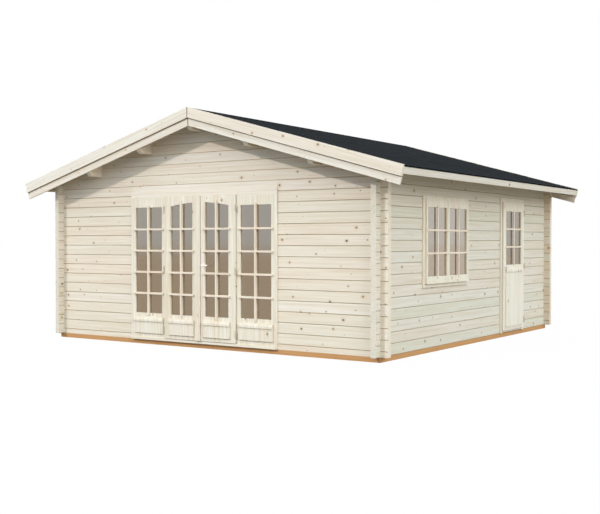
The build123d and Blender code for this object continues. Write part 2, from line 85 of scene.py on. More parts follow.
def blend(tree, factor, first, second, way="MIX"):
    """Mixes two colours."""
    made = add(tree, "ShaderNodeMix", {0: factor, 6: first, 7: second}, data_type="RGBA", blend_type=way)
    return made.outputs[2]


def new_material(name):
    """Empty material: its tree, and its Principled shader already on the output."""
    material = bpy.data.materials.new(name)
    material.use_nodes = True
    tree = material.node_tree
    tree.nodes.clear()
    shader = add(tree, "ShaderNodeBsdfPrincipled")
    add(tree, "ShaderNodeOutputMaterial", {"Surface": shader.outputs[0]})
    return material, tree, shader


# %% [markdown]
# Planed spruce is pale cream, and no two logs are the same: one is pinker, the next a little
# yellower. Long soft streaks run with the grain, and small dark knots sit here and there, with the
# grain bending round them. All of it could be painted, but then it would not fit the next cabin.
# Here a cell pattern with one random point in each cell places the knots at their real size. A
# knot is where a branch was, so it has a dark heart and a soft halo of turned grain.

# %% Knots
knot_spacing = 0.46       # about one knot in each cell of this length and one board's height
knot_radius = (0.003, 0.015)
knot_length = 0.8         # below one, a knot is longer along the grain than across it
heart_edge = (1.15, 0.7)  # each edge is (where it ends, where it is full), in knot radii
halo_edge = (3.2, 1.0)


def knot_field(tree, moved, row, board, share):
    """Hearts and halos of the knots, and a random number for each knot's tone."""
    lengths = sums(tree, "DIVIDE", moved, knot_spacing)
    cell_place = add(tree, "ShaderNodeCombineXYZ", {0: lengths, 1: row})
    cell = add(tree, "ShaderNodeTexVoronoi", {"Vector": cell_place.outputs[0], "Scale": 1.0},
               voronoi_dimensions="2D")
    point = add(tree, "ShaderNodeSeparateXYZ", {0: cell.outputs["Position"]})
    off_a = sums(tree, "MULTIPLY", sums(tree, "SUBTRACT", lengths, point.outputs[0]),
                 knot_spacing * knot_length)
    off_b = sums(tree, "MULTIPLY", sums(tree, "SUBTRACT", row, point.outputs[1]), board)
    away = sums(tree, "SQRT", sums(tree, "ADD", sums(tree, "MULTIPLY", off_a, off_a),
                                   sums(tree, "MULTIPLY", off_b, off_b)))
    luck = add(tree, "ShaderNodeSeparateColor", {0: cell.outputs["Color"]})
    present = sums(tree, "LESS_THAN", luck.outputs[1], share)
    radius = add(tree, "ShaderNodeMapRange", {0: sums(tree, "POWER", luck.outputs[0], 2.0),
                                              3: knot_radius[0], 4: knot_radius[1]}).outputs[0]
    masks = []
    for ends, full in (heart_edge, halo_edge):
        mask = add(tree, "ShaderNodeMapRange", {
            0: away, 1: sums(tree, "MULTIPLY", radius, ends), 2: sums(tree, "MULTIPLY", radius, full),
            3: 0.0, 4: 1.0}, interpolation_type="SMOOTHSTEP")
        masks.append(sums(tree, "MULTIPLY", mask.outputs[0], present))
    return masks[0], masks[1], luck.outputs[2]


# %% [markdown]
# The grain is noise drawn out along the board: once wide and soft for the streaks that show from
# afar, and once fine for the wood near by. Real growth rings are 2 to 3 mm apart, too fine to show,
# so both are drawn coarser. The wood is also painted darker where shade falls: in the V between two
# logs, under the edge of a cover board, in the plumb joint at the ridge, and on faces that look up.
# The solids have those joints, but from afar they are too thin to see, so painted shade helps them
# to read.

# %% Grain and joint shade
streak_width = 0.022
fine_width = 0.005
streak_length = 0.9
fine_length = streak_length / 3
seam_edge = (0.0050, 0.0025)   # across the V between two logs, from its middle
cover_edge_shade = (0.014, 0.006)   # on a bargeboard, down from the edge of its cover board
plumb_joint = (0.010, 0.004)   # where the boards of the two slopes meet at the ridge
ledge_slope = (0.2, 0.6)       # how far up a face must look before it is painted darker


def grain(tree, place, length, width, detail):
    """Noise drawn out along the grain. place is (along, across, deep)."""
    drawn = add(tree, "ShaderNodeCombineXYZ", {
        0: sums(tree, "DIVIDE", place[0], length), 1: sums(tree, "DIVIDE", place[1], width),
        2: sums(tree, "DIVIDE", place[2], width)})
    noise = add(tree, "ShaderNodeTexNoise", {"Vector": drawn.outputs[0], "Scale": 1.0, "Detail": detail})
    return noise.outputs[0]


def shade(tree, measure, edge):
    """Nothing at the first measure of the edge, and one at the second."""
    return add(tree, "ShaderNodeMapRange", {0: measure, 1: edge[0], 2: edge[1], 3: 0.0, 4: 1.0}).outputs[0]


# %% [markdown]
# Now the wood itself. Each log's number, counted from its height, picks its tint and shifts its
# grain, so that one material serves a whole wall of different logs.

# %% Planed spruce
pattern_shift = 31.0      # metres along the patterns, times each board's own random number
face_step = 17.0          # boards on another face of the building get other numbers
stick_step = 97.0
grain_bend = 0.010        # how far a knot pushes the grain aside
grain_tint, halo_tone, knot_tones = "#D8BE96", "#C9A87C", ("#5E4A35", "#A98662")
ledge_shade_tone, cover_shadow_tone, plumb_tone = "#D6D0C4", "#A3937C", "#9A8B76"


def spruce(name, along, across, tones, board=0.134, first=0.0, seed=0.0, turn=0.0, knots=0.8,
           from_map=False, streaks=0.16, seams=None, ledges=False, cover_at=None):
    """Planed spruce. The grain runs along one axis, and boards are counted across it."""
    material, tree, shader = new_material(name)
    if from_map:
        place = add(tree, "ShaderNodeUVMap", uv_map="grain").outputs[0]
        split = add(tree, "ShaderNodeSeparateXYZ", {0: place})
        a, b, c = split.outputs[0], split.outputs[1], 0.0
        stick = add(tree, "ShaderNodeAttribute", attribute_name="stick")
        number = sums(tree, "MULTIPLY", stick.outputs[2], stick_step)
    else:
        surface = add(tree, "ShaderNodeTexCoord")
        facing = add(tree, "ShaderNodeSeparateXYZ", {0: surface.outputs["Normal"]})
        place = surface.outputs["Object"]
        if turn:
            place = add(tree, "ShaderNodeMapping", {0: place, 2: (0, turn, 0)}).outputs[0]
        split = add(tree, "ShaderNodeSeparateXYZ", {0: place})
        rest = ({"X", "Y", "Z"} - {along, across}).pop()
        a, b, c = split.outputs[along], split.outputs[across], split.outputs[rest]
        counted = sums(tree, "FLOOR", sums(tree, "DIVIDE", sums(tree, "SUBTRACT", b, first), board))
        face = sums(tree, "MULTIPLY", sums(tree, "FLOOR", c), face_step)
        number = sums(tree, "ADD", sums(tree, "ADD", counted, face), seed)
    chance = add(tree, "ShaderNodeTexWhiteNoise", {"W": number}, noise_dimensions="1D")
    moved = sums(tree, "MULTIPLY_ADD", chance.outputs["Value"], pattern_shift, a)
    row = sums(tree, "DIVIDE", sums(tree, "SUBTRACT", b, first), board)
    heart, halo, luck = knot_field(tree, moved, row, board, knots)
    bent = sums(tree, "MULTIPLY_ADD", halo, grain_bend, b)
    streak = grain(tree, (moved, bent, c), streak_length, streak_width, 3.0)
    fine = grain(tree, (moved, bent, c), fine_length, fine_width, 2.0)

    ramp = add(tree, "ShaderNodeValToRGB", {0: chance.outputs["Value"]})
    ramp.color_ramp.elements[0].color = linear(tones[0])
    ramp.color_ramp.elements[1].color = linear(tones[-1])
    for stop, tone in enumerate(tones[1:-1], 1):
        ramp.color_ramp.elements.new(stop / (len(tones) - 1)).color = linear(tone)
    dark = blend(tree, 1.0, ramp.outputs[0], linear(grain_tint), "MULTIPLY")
    soft = add(tree, "ShaderNodeMapRange", {0: streak, 1: 0.38, 2: 0.72, 3: 0.0, 4: streaks * 2})
    wood = blend(tree, soft.outputs[0], ramp.outputs[0], dark)
    thin = add(tree, "ShaderNodeMapRange", {0: fine, 1: 0.4, 2: 0.75, 3: 0.0, 4: streaks * 1.3})
    wood = blend(tree, thin.outputs[0], wood, dark)
    wood = blend(tree, sums(tree, "MULTIPLY", halo, 0.30), wood, linear(halo_tone))
    knot_tone = blend(tree, luck, linear(knot_tones[0]), linear(knot_tones[1]))
    wood = blend(tree, sums(tree, "MULTIPLY", heart, 0.9), wood, knot_tone)
    # Painted shade in the V between two logs: a thin gap and the shade that fills it, drawn wider and
    # darker than the solid's groove shows. It is left off the sawn ends.
    if seams:
        part = sums(tree, "FRACT", row)
        near = sums(tree, "MULTIPLY", sums(tree, "MINIMUM", part, sums(tree, "SUBTRACT", 1.0, part)), board)
        sawn_end = sums(tree, "GREATER_THAN", sums(tree, "ABSOLUTE", facing.outputs[along]), 0.6)
        strength = sums(tree, "MULTIPLY", shade(tree, near, seam_edge),
                        sums(tree, "SUBTRACT", 1.0, sawn_end))
        wood = blend(tree, strength, wood, linear(seams), "MULTIPLY")
    # Painted shade on faces that look up: the further up a face looks, the darker it is made.
    if ledges:
        grit_and_ledge_shade = shade(tree, facing.outputs["Z"], ledge_slope)
        wood = blend(tree, grit_and_ledge_shade, wood, linear(ledge_shade_tone), "MULTIPLY")
    # Painted shadow on the bargeboard under the edge of its cover board. Then painted shade in the plumb
    # joint at the ridge: a gap of a few mm, drawn wider with the shade beside it.
    if cover_at:
        below = sums(tree, "SUBTRACT", cover_at, b)
        strength = sums(tree, "MULTIPLY", shade(tree, below, cover_edge_shade),
                        sums(tree, "GREATER_THAN", below, 0.0005))
        wood = blend(tree, strength, wood, linear(cover_shadow_tone), "MULTIPLY")
        level = add(tree, "ShaderNodeSeparateXYZ", {0: surface.outputs["Object"]})
        beside = sums(tree, "ABSOLUTE", level.outputs["X"])
        wood = blend(tree, shade(tree, beside, plumb_joint), wood, linear(plumb_tone), "MULTIPLY")

    tree.links.new(wood, shader.inputs["Base Color"])
    rough = add(tree, "ShaderNodeMapRange", {0: fine, 3: 0.52, 4: 0.72})
    tree.links.new(rough.outputs[0], shader.inputs["Roughness"])
    shader.inputs["IOR"].default_value = 1.45
    shader.inputs["Specular IOR Level"].default_value = 0.3
    height = sums(tree, "SUBTRACT", fine, sums(tree, "MULTIPLY", heart, 0.4))
    bump = add(tree, "ShaderNodeBump", {"Height": height, "Strength": 0.25, "Distance": 0.0006})
    tree.links.new(bump.outputs[0], shader.inputs["Normal"])
    return material


# %% [markdown]
# A wall of logs, a planed door and a roof board are the same wood with other boards: here each gets
# its board height, the way of its grain, its own tones, and as many knots as a joiner would let in.

# %% One finish for each use
log_height = 0.134
first_course = 0.062
front_start = first_course - log_height / 2    # the front courses lie half a log lower
roof_pitch = math.radians(15.7)
roof_count, floor_count = 64, 45
roof_cover = 2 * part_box("roof_boards_right")[1][1] / roof_count
floor_cover = 2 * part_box("floor")[1][1] / floor_count
cover_corners = [corner.co for corner in nodes["front_right_cover_board"].data.vertices]
cover_edge = min(c.x * math.sin(roof_pitch) + c.z * math.cos(roof_pitch) for c in cover_corners)

wall_tones = ("#EAE0D0", "#E9D9C3", "#EDE3D5", "#E8DECC", "#EBDDCA", "#EBE1D2")
gable_tones = ("#EBE3D5", "#EADCC8", "#EEE6DA", "#E9E1D1", "#ECE0CF", "#ECE4D7")
# The side walls' logs are a little darker and cooler than the front's: painted shade, set for the right
# wall, which lies out of the sun.
side_tones = ("#DFD8C9", "#E2D7C8", "#E1DACC", "#DBD6C5", "#E3D8C9", "#DFD9CB")
joinery_tones = ("#EDE6D6", "#EBE0CD", "#EFE9DB", "#EDE1D2")
trim_tones = ("#EBE4D7", "#EADECE", "#ECE6DA")
purlin_tones = ("#F2E8D8", "#EFE2CE")
roof_tones = ("#E6DABF", "#E4D3B6", "#E8DDC6")
stick_tones = ("#EDE0CE", "#EEDDC8", "#ECE0CF")

logs_across = spruce("planed_spruce_logs_across", "X", "Z", wall_tones, log_height, front_start, seed=3,
                     seams="#BFB49E")
# The gable has its own copy of the logs, set for the bargeboards' shadow that lies on most of it: its tones
# are a little paler and cooler, and its painted shade in the joints much fainter.
logs_gable = spruce("planed_spruce_gable_logs", "X", "Z", gable_tones, log_height, front_start, seed=3,
                    seams="#E6DFCF")
logs_along = spruce("planed_spruce_logs_along", "Y", "Z", side_tones, log_height, first_course, seed=11,
                    seams="#CBC4B2")
purlin_wood = spruce("planed_spruce_purlins", "Y", "X", purlin_tones, 0.9, 0.45, seed=5)
upright = spruce("planed_spruce_uprights", "Z", "X", joinery_tones, 0.12, seed=23, knots=0.25,
                 streaks=0.22, ledges=True)
upright_side = spruce("planed_spruce_uprights_side", "Z", "Y", joinery_tones, 0.12, seed=29, knots=0.25,
                      ledges=True)
rail_wood = spruce("planed_spruce_rails", "X", "Z", joinery_tones, 0.09, seed=31, knots=0.3, ledges=True)
window_wood = spruce("planed_spruce_window", "Z", "Y", joinery_tones, 0.09, seed=37, knots=0.3, ledges=True)
trim_left = spruce("planed_spruce_trim_left", "X", "Z", trim_tones, 0.13, seed=41, turn=roof_pitch,
                   cover_at=cover_edge)
trim_right = spruce("planed_spruce_trim_right", "X", "Z", trim_tones, 0.13, seed=43, turn=-roof_pitch,
                    cover_at=cover_edge)
eave_wood = spruce("planed_spruce_eave_boards", "Y", "Z", trim_tones, 0.4, seed=47)
roof_wood = spruce("planed_spruce_roof_boards", "X", "Y", roof_tones, roof_cover, seed=53)
floor_wood = spruce("planed_spruce_floor_boards", "X", "Y", wall_tones, floor_cover, floor_cover / 2,
                    seed=59)
stick_wood = spruce("planed_spruce_sticks", "X", "Z", stick_tones, 0.12, from_map=True, knots=0.12)
print("spruce finishes:", len([m for m in bpy.data.materials if "spruce" in m.name]))

# %% [markdown]
# The bearers lie on the ground, so they are soaked in preservative under pressure. That turns the
# wood an orange brown, darker in the knots and paler where the salts did not sink in.

# %% Treated bearers


def treated(name, along):
    """Pressure-treated timber with its grain along one axis."""
    material, tree, shader = new_material(name)
    place = add(tree, "ShaderNodeTexCoord").outputs["Object"]
    split = add(tree, "ShaderNodeSeparateXYZ", {0: place})
    other = "Y" if along == "X" else "X"
    lines = grain(tree, (split.outputs[along], split.outputs["Z"], split.outputs[other]), 0.5, 0.014, 4.0)
    patch = add(tree, "ShaderNodeTexNoise", {"Vector": place, "Scale": 2.2, "Detail": 2.0})
    wood = blend(tree, lines, linear("#D69E66"), linear("#A26C3F"))
    wood = blend(tree, sums(tree, "MULTIPLY", patch.outputs[0], 0.6), wood, linear("#C79A62"))
    tree.links.new(wood, shader.inputs["Base Color"])
    shader.inputs["Roughness"].default_value = 0.7
    bump = add(tree, "ShaderNodeBump", {"Height": lines, "Strength": 0.4, "Distance": 0.001})
    tree.links.new(bump.outputs[0], shader.inputs["Normal"])
    return material


bearer_wood = treated("pressure_treated_bearers", "X")
joist_wood = treated("pressure_treated_joists", "Y")
print("treated:", bearer_wood.name, joist_wood.name)

# %% [markdown]
# Roofing felt is a bitumen sheet faced with crushed slate. From afar it is a blue black that
# drinks the light, and from near it is a fine grit with a few paler grains.

# %% Slate-faced felt
felt, tree, shader = new_material("slate_faced_bitumen_felt")
place = add(tree, "ShaderNodeTexCoord").outputs["Object"]
grit = add(tree, "ShaderNodeTexNoise", {"Vector": place, "Scale": 420.0, "Detail": 2.0})
cloud = add(tree, "ShaderNodeTexNoise", {"Vector": place, "Scale": 2.6, "Detail": 3.0})
grit_and_ledge_shade = add(tree, "ShaderNodeMapRange", {0: grit.outputs[0], 1: 0.45, 2: 0.75})
colour = blend(tree, grit_and_ledge_shade.outputs[0], linear("#0E1215"), linear("#1C2227"))
colour = blend(tree, sums(tree, "MULTIPLY", cloud.outputs[0], 0.35), colour, linear("#13181C"))
tree.links.new(colour, shader.inputs["Base Color"])
shader.inputs["Roughness"].default_value = 0.92
shader.inputs["Specular IOR Level"].default_value = 0.03
grain_bump = add(tree, "ShaderNodeBump", {"Height": grit.outputs[0], "Strength": 0.5, "Distance": 0.0008})
tree.links.new(grain_bump.outputs[0], shader.inputs["Normal"])
print("felt:", felt.name)

# %% [markdown]
# The panes are clear float glass, 4 mm thick. A solid block of refracting glass would keep the
# daylight out of the room, so the pane is a thin film: light goes straight through it, and it
# mirrors more the flatter it is seen. Fresnel does that, on the face where the light comes in: on
# the far face it would hold the light inside, as in a prism. It lets through less than real glass,
# so that the room behind stays dim, as it looks by day from outside.

# %% Clear float glass


def float_glass(name, mirrored):
    """Thin pane that mirrors the given share of the light, and more at a flat angle."""
    material, tree, shader = new_material(name)
    tree.nodes.remove(shader)
    clear = add(tree, "ShaderNodeBsdfTransparent", {"Color": linear("#CBC5BC")})
    mirror = add(tree, "ShaderNodeBsdfGlossy", {"Color": linear("#FDF5E8"), "Roughness": 0.05})
    facing = add(tree, "ShaderNodeFresnel", {"IOR": 1.5})
    share = sums(tree, "MULTIPLY_ADD", facing.outputs[0], 1.2, mirrored)
    leaving = add(tree, "ShaderNodeNewGeometry").outputs["Backfacing"]
    share = sums(tree, "MULTIPLY", share, sums(tree, "SUBTRACT", 1.0, leaving))
    pane_mix = add(tree, "ShaderNodeMixShader", {0: share, 1: clear.outputs[0], 2: mirror.outputs[0]})
    output = next(node for node in tree.nodes if node.type == "OUTPUT_MATERIAL")
    tree.links.new(pane_mix.outputs[0], output.inputs[0])
    return material


glass = float_glass("clear_float_glass", 0.29)
side_door_glass = float_glass("clear_float_glass_side_door", 0.21)
window_pane_glass = float_glass("clear_float_glass_window", 0.35)
print("glass:", glass.name, side_door_glass.name, window_pane_glass.name)

# %% [markdown]
# The lock plates and levers are brushed stainless steel, with scratches too fine to see that
# spread the light along one way. The hinges and screw heads are painted cream, near the colour of
# the wood, so they hardly show beside it. The roof's nails are galvanised: hot zinc leaves them a
# dull mid grey.

# %% Steel finishes


def steel(name, colour, roughness, stretch):
    """Brushed or galvanised steel: fine scratches change the roughness."""
    material, tree, shader = new_material(name)
    place = add(tree, "ShaderNodeTexCoord").outputs["Object"]
    scratch_place = add(tree, "ShaderNodeMapping", {0: place, 3: stretch})
    scratch = add(tree, "ShaderNodeTexNoise", {"Vector": scratch_place.outputs[0], "Scale": 1.0,
                                               "Detail": 3.0})
    rough = add(tree, "ShaderNodeMapRange", {0: scratch.outputs[0], 3: roughness - 0.08,
                                             4: roughness + 0.1})
    shader.inputs["Base Color"].default_value = linear(colour)
    tree.links.new(rough.outputs[0], shader.inputs["Roughness"])
    shader.inputs["Metallic"].default_value = 1.0
    return material


handle_steel = steel("brushed_stainless_steel", "#F3F1F1", 0.34, (900, 900, 40))
nail_steel = steel("galvanised_steel", "#83878A", 0.52, (700, 700, 700))
hinge_steel, tree, shader = new_material("cream_painted_steel")
place = add(tree, "ShaderNodeTexCoord").outputs["Object"]
speck = add(tree, "ShaderNodeTexNoise", {"Vector": place, "Scale": 300.0})
paint = blend(tree, speck.outputs[0], linear("#C9BEA9"), linear("#BDB199"))
tree.links.new(paint, shader.inputs["Base Color"])
shader.inputs["Roughness"].default_value = 0.5
print("steel:", handle_steel.name, nail_steel.name, hinge_steel.name)

# %% [markdown]
# Each solid piece now gets its finish through its own material slot. The shape is left alone. The
# first word of this list that a piece's name holds decides, so the special cases come first.

# %% Dress the solid pieces
finish_by_word = (
    ("bearers", bearer_wood), ("floor_joists", joist_wood), ("floor", logs_along),
    ("roof_boards", logs_along), ("felt", felt), ("purlin", purlin_wood), ("eave_board", eave_wood),
    ("left_cover_board", trim_left), ("left_bargeboard", trim_left),
    ("right_cover_board", trim_right), ("right_bargeboard", trim_right),
    ("front_gable", logs_gable), ("front_wall", logs_across), ("rear_wall", logs_across),
    ("left_wall", logs_along), ("right_wall", logs_along),
    ("side_leaf_glass", side_door_glass), ("window_glass", window_pane_glass), ("glass", glass),
    ("hinges", hinge_steel), ("lever", handle_steel), ("lock_plate", handle_steel),
    ("door_threshold", rail_wood), ("door_head", rail_wood), ("window", window_wood),
    ("side_door_frame", upright_side), ("side_leaf", upright_side), ("", upright),
)
for name, piece in nodes.items():
    finish = next(finish for word, finish in finish_by_word if word in name)
    piece.data.materials.clear()
    piece.data.materials.append(finish)
print("dressed:", len(nodes))

# %% [markdown]
# The glazing bars are squared sticks. One function builds any number of them into one mesh of
# closed pieces. It also writes a map of the grain, in metres, lengthways and across, and a number
# for each stick, so that each has its own tint and streaks. A fine bevel stands for the planed arris.

# %% Sticks


def sticks(name, members, finish, arris=0.0012):
    """One mesh of squared sticks. Each member is (low corner, high corner, grain axis)."""
    points, faces, grain_map, numbers = [], [], [], []
    chance = random.Random(name)
    corner_order = ((0, 1, 3, 2), (4, 6, 7, 5), (0, 4, 5, 1), (2, 3, 7, 6), (0, 2, 6, 4), (1, 5, 7, 3))
    for low, high, axis in members:
        start = len(points)
        corners = [Vector((x, y, z)) for x in (low[0], high[0]) for y in (low[1], high[1])
                   for z in (low[2], high[2])]
        points.extend(corners)
        shift, number = chance.uniform(0, 40), chance.random()
        for quad in corner_order:
            faces.append([start + i for i in quad])
            numbers.append(number)
            flat = next(i for i in range(3) if len({round(corners[q][i], 6) for q in quad}) == 1)
            across = next(i for i in (2, 0, 1) if i not in (axis, flat)) if flat != axis else (axis + 1) % 3
            length = axis if flat != axis else (axis + 2) % 3
            grain_map.extend((corners[q][length] + shift, corners[q][across] + number * 7) for q in quad)
    mesh = bpy.data.meshes.new(name)
    mesh.from_pydata(points, [], faces)
    layer = mesh.uv_layers.new(name="grain")
    layer.data.foreach_set("uv", [value for pair in grain_map for value in pair])
    mesh.attributes.new("stick", "FLOAT", "FACE").data.foreach_set("value", numbers)
    mesh.materials.append(finish)
    piece = bpy.data.objects.new(name, mesh)
    bpy.context.scene.collection.objects.link(piece)
    if arris:
        bevel = piece.modifiers.new("arris", "BEVEL")
        bevel.width = arris
        bevel.segments = 1
    return piece


# %% [markdown]
# The panes look divided, but the bars are a light lattice planted on the outside. Its bars run
# 30 mm past the pane on to the frame, and stand 18 mm proud, so they throw a thin shadow there.
# On the front each bar is deeper over the pane, and reaches back to the glass, so no light gets
# behind it. The window and the side door have a thinner lattice, 8 mm, that only lies on the sash.

# %% Glazing bars
bar_width = 0.025
bar_depth = 0.018
side_bar_depth = 0.008
bar_run_on = 0.030
glass_gap = 0.0005         # the putty line between a bar and the glass
bar_lift = 0.0002          # level bars stand this much further out, so that no two faces share a plane
front_levels = (0.690, 0.977, 1.264, 1.551)


def front_lattice(name, low, high, face, levels):
    """Lattice over a pane of the front: its bars lie on the plane y = face, and its ribs on the glass."""
    glass_face = low[1] - glass_gap
    middle = (low[0] + high[0]) / 2
    back, out = face, face - bar_depth
    half = bar_width / 2
    members = [((middle - half, out, low[2] - bar_run_on), (middle + half, back, high[2] + bar_run_on), 2),
               ((middle - half, back, low[2]), (middle + half, glass_face, high[2]), 2)]
    for level in levels:
        members.append(((low[0] - bar_run_on, out - bar_lift, level - half),
                        (high[0] + bar_run_on, back, level + half), 0))
        members.append(((low[0], back, level - half), (high[0], glass_face - bar_lift, level + half), 0))
    return sticks(name, members, stick_wood)


def side_lattice(name, low, high, face, levels):
    """Lattice over a pane of the right wall: its thin bars lie on the plane x = face."""
    middle = (low[1] + high[1]) / 2
    half = bar_width / 2
    members = [((face, middle - half, low[2] - bar_run_on),
                (face + side_bar_depth, middle + half, high[2] + bar_run_on), 2)]
    for level in levels:
        members.append(((face, low[1] - bar_run_on, level - half),
                        (face + side_bar_depth + bar_lift, high[1] + bar_run_on, level + half), 1))
    return sticks(name, members, stick_wood)


def third_levels(low, high):
    """Heights of two level bars that make three equal rows."""
    return [low[2] + (high[2] - low[2]) * k / 3 for k in (1, 2)]


frame_plane = -2.690
leaf_plane = -2.712
side_plane = 2.712
pane_width = 0.480
mullion = 0.074
low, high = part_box("sidelight_glass")
for name, start in (("left_sidelight_bars", low[0]), ("right_sidelight_bars", high[0] - pane_width)):
    bars = front_lattice(name, (start, low[1], low[2]), (start + pane_width, low[1], high[2]), frame_plane,
                         front_levels)
    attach(bars, "cabin")
for leaf in ("left_leaf", "right_leaf"):
    low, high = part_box(f"{leaf}_glass")
    bars = front_lattice(f"{leaf}_bars", low, high, leaf_plane, front_levels)
    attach(bars, leaf)
low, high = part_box("side_leaf_glass")
bars = side_lattice("side_leaf_bars", low, high, side_plane, third_levels(low, high))
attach(bars, "side_leaf")
low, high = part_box("window_glass")
one_pane = (high[1] - low[1] - mullion) / 2
for name, start in (("window_bars_front", low[1]), ("window_bars_rear", high[1] - one_pane)):
    bars = side_lattice(name, (high[0], start, low[2]), (high[0], start + one_pane, high[2]), side_plane,
                        third_levels(low, high))
    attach(bars, "cabin")

# %% [markdown]
# The roof boards and the floor boards are tongued and grooved, with a small V where two meet. Such
# a board could be copied by hand, but Geometry Nodes makes the row from three named values: the
# board, how many there are, and the step from one to the next. A second tree sets a unit on every
# point it is given, which suits nails and screws.

# %% Rows and points with Geometry Nodes


def plain_piece(name, mesh):
    """Object at the origin that holds a finished mesh."""
    piece = bpy.data.objects.new(name, mesh)
    bpy.context.scene.collection.objects.link(piece)
    return piece


def solved(name, holder, tree, values):
    """Runs a tree on a holder, and keeps the result as a plain mesh."""
    modifier = holder.modifiers.new("making", "NODES")
    modifier.node_group = tree
    for item in tree.interface.items_tree:
        if item.in_out == "INPUT" and item.name in values:
            modifier[item.identifier] = values[item.name]
    graph = bpy.context.evaluated_depsgraph_get()
    mesh = bpy.data.meshes.new_from_object(holder.evaluated_get(graph))
    mesh.name = name
    holder.modifiers.remove(modifier)
    bpy.data.objects.remove(holder)
    return mesh


def new_tree(name, wanted):
    """Empty tree with its named inputs."""
    tree = bpy.data.node_groups.new(name, "GeometryNodeTree")
    for title, kind in wanted:
        tree.interface.new_socket(title, in_out="INPUT", socket_type=kind)
    tree.interface.new_socket("Geometry", in_out="OUTPUT", socket_type="NodeSocketGeometry")
    return tree, add(tree, "NodeGroupInput")


def end_tree(tree, placed, given):
    """Makes the copies real and dresses them."""
    real = add(tree, "GeometryNodeRealizeInstances", {0: placed})
    dressed = add(tree, "GeometryNodeSetMaterial", {"Geometry": real.outputs[0],
                                                    "Material": given.outputs["Finish"]})
    add(tree, "NodeGroupOutput", {0: dressed.outputs[0]})


row_tree, given = new_tree("row_of_boards", (
    ("Board", "NodeSocketObject"), ("Boards", "NodeSocketInt"), ("Step", "NodeSocketVector"),
    ("Finish", "NodeSocketMaterial")))
line = add(row_tree, "GeometryNodeMeshLine", {"Count": given.outputs["Boards"],
                                              "Offset": given.outputs["Step"]})
board = add(row_tree, "GeometryNodeObjectInfo", {"Object": given.outputs["Board"]})
row = add(row_tree, "GeometryNodeInstanceOnPoints", {"Points": line.outputs[0],
                                                     "Instance": board.outputs["Geometry"]})
end_tree(row_tree, row.outputs[0], given)

head_tree, given = new_tree("heads_on_points", (
    ("Geometry", "NodeSocketGeometry"), ("Head", "NodeSocketObject"), ("Size", "NodeSocketFloat"),
    ("Seed", "NodeSocketInt"), ("Finish", "NodeSocketMaterial")))
head = add(head_tree, "GeometryNodeObjectInfo", {"Object": given.outputs["Head"]})
grown = add(head_tree, "FunctionNodeRandomValue", {2: 0.94, 3: 1.06, "Seed": given.outputs["Seed"]},
            data_type="FLOAT")
size = add(head_tree, "ShaderNodeMath", {0: grown.outputs[1], 1: given.outputs["Size"]},
           operation="MULTIPLY")
heads = add(head_tree, "GeometryNodeInstanceOnPoints", {"Points": given.outputs["Geometry"],
                                                        "Instance": head.outputs["Geometry"],
                                                        "Scale": size.outputs[0]})
end_tree(head_tree, heads.outputs[0], given)
print("trees:", row_tree.name, head_tree.name)

# %% [markdown]
# A roof board is drawn lying flat: its ridge end is cut plumb and its eave end square, as the solid
# roof layer is. The row is then tilted on to its slope. The V faces down, to the room.

# %% Roof boards and floor boards
board_gap = 0.0006        # boards are pushed up tight, but a hairline stays
board_vee = 0.0035
pitch_sin, pitch_cos = math.sin(roof_pitch), math.cos(roof_pitch)
felt_drop, felt_depth, deck_depth = 0.006, 0.003, 0.020
deck_top = felt_drop + felt_depth
deck_low = deck_top + deck_depth
ridge_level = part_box("roof_boards_right")[1][2] + deck_top / pitch_cos


def board_unit(name, ends, levels, cover):
    """One board along X. ends gives its start and end at the plain face and at the V face."""
    half = cover / 2 - board_gap / 2
    plain, veed = levels
    toward = 1 if plain > veed else -1
    profile = [(-half, plain), (half, plain), (half, veed + toward * board_vee),
               (half - board_vee, veed), (board_vee - half, veed), (-half, veed + toward * board_vee)]
    if toward < 0:
        profile.reverse()
    points = []
    for end in (0, 1):
        for y, z in profile:
            share = (z - plain) / (veed - plain)
            points.append((ends[0][end] * (1 - share) + ends[1][end] * share, y, z))
    count = len(profile)
    faces = [tuple(range(count)), tuple(reversed(range(count, 2 * count)))]
    faces += [(i, i + count, (i + 1) % count + count, (i + 1) % count) for i in range(count)]
    mesh = bpy.data.meshes.new(name)
    mesh.from_pydata(points, [], faces)
    return bpy.data.objects.new(name, mesh)


def closed_outwards(mesh):
    """Turns every face of closed pieces outwards."""
    work = bmesh.new()
    work.from_mesh(mesh)
    bmesh.ops.recalc_face_normals(work, faces=work.faces)
    work.to_mesh(mesh)
    work.free()


def board_row(name, unit, count, cover, finish):
    """Row of boards across the plan."""
    holder = plain_piece(f"{name}_holder", bpy.data.meshes.new(name))
    mesh = solved(name, holder, row_tree, {"Board": unit, "Boards": count, "Step": (0.0, cover, 0.0),
                                           "Finish": finish})
    bpy.data.objects.remove(unit)
    mesh.transform(Matrix.Translation((0, -cover * (count - 1) / 2, 0)))
    return mesh


deck_length = (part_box("roof_boards_right")[1][0] + deck_top * pitch_sin) / pitch_cos
plumb = pitch_sin / pitch_cos
for side, hand in ((-1, "left"), (1, "right")):
    unit = board_unit("roof_board", ((deck_top * plumb, deck_length), (deck_low * plumb, deck_length)),
                      (-deck_top, -deck_low), roof_cover)
    mesh = board_row(f"roof_boards_{hand}_laid", unit, roof_count, roof_cover, roof_wood)
    for vertex in mesh.vertices:
        along, deep = vertex.co.x, -vertex.co.z
        vertex.co.x = side * (along * pitch_cos - deep * pitch_sin)
        vertex.co.z = ridge_level - along * pitch_sin - deep * pitch_cos
    closed_outwards(mesh)
    laid = plain_piece(f"roof_boards_{hand}_laid", mesh)
    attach(laid, "cabin")
    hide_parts(f"roof_boards_{hand}")

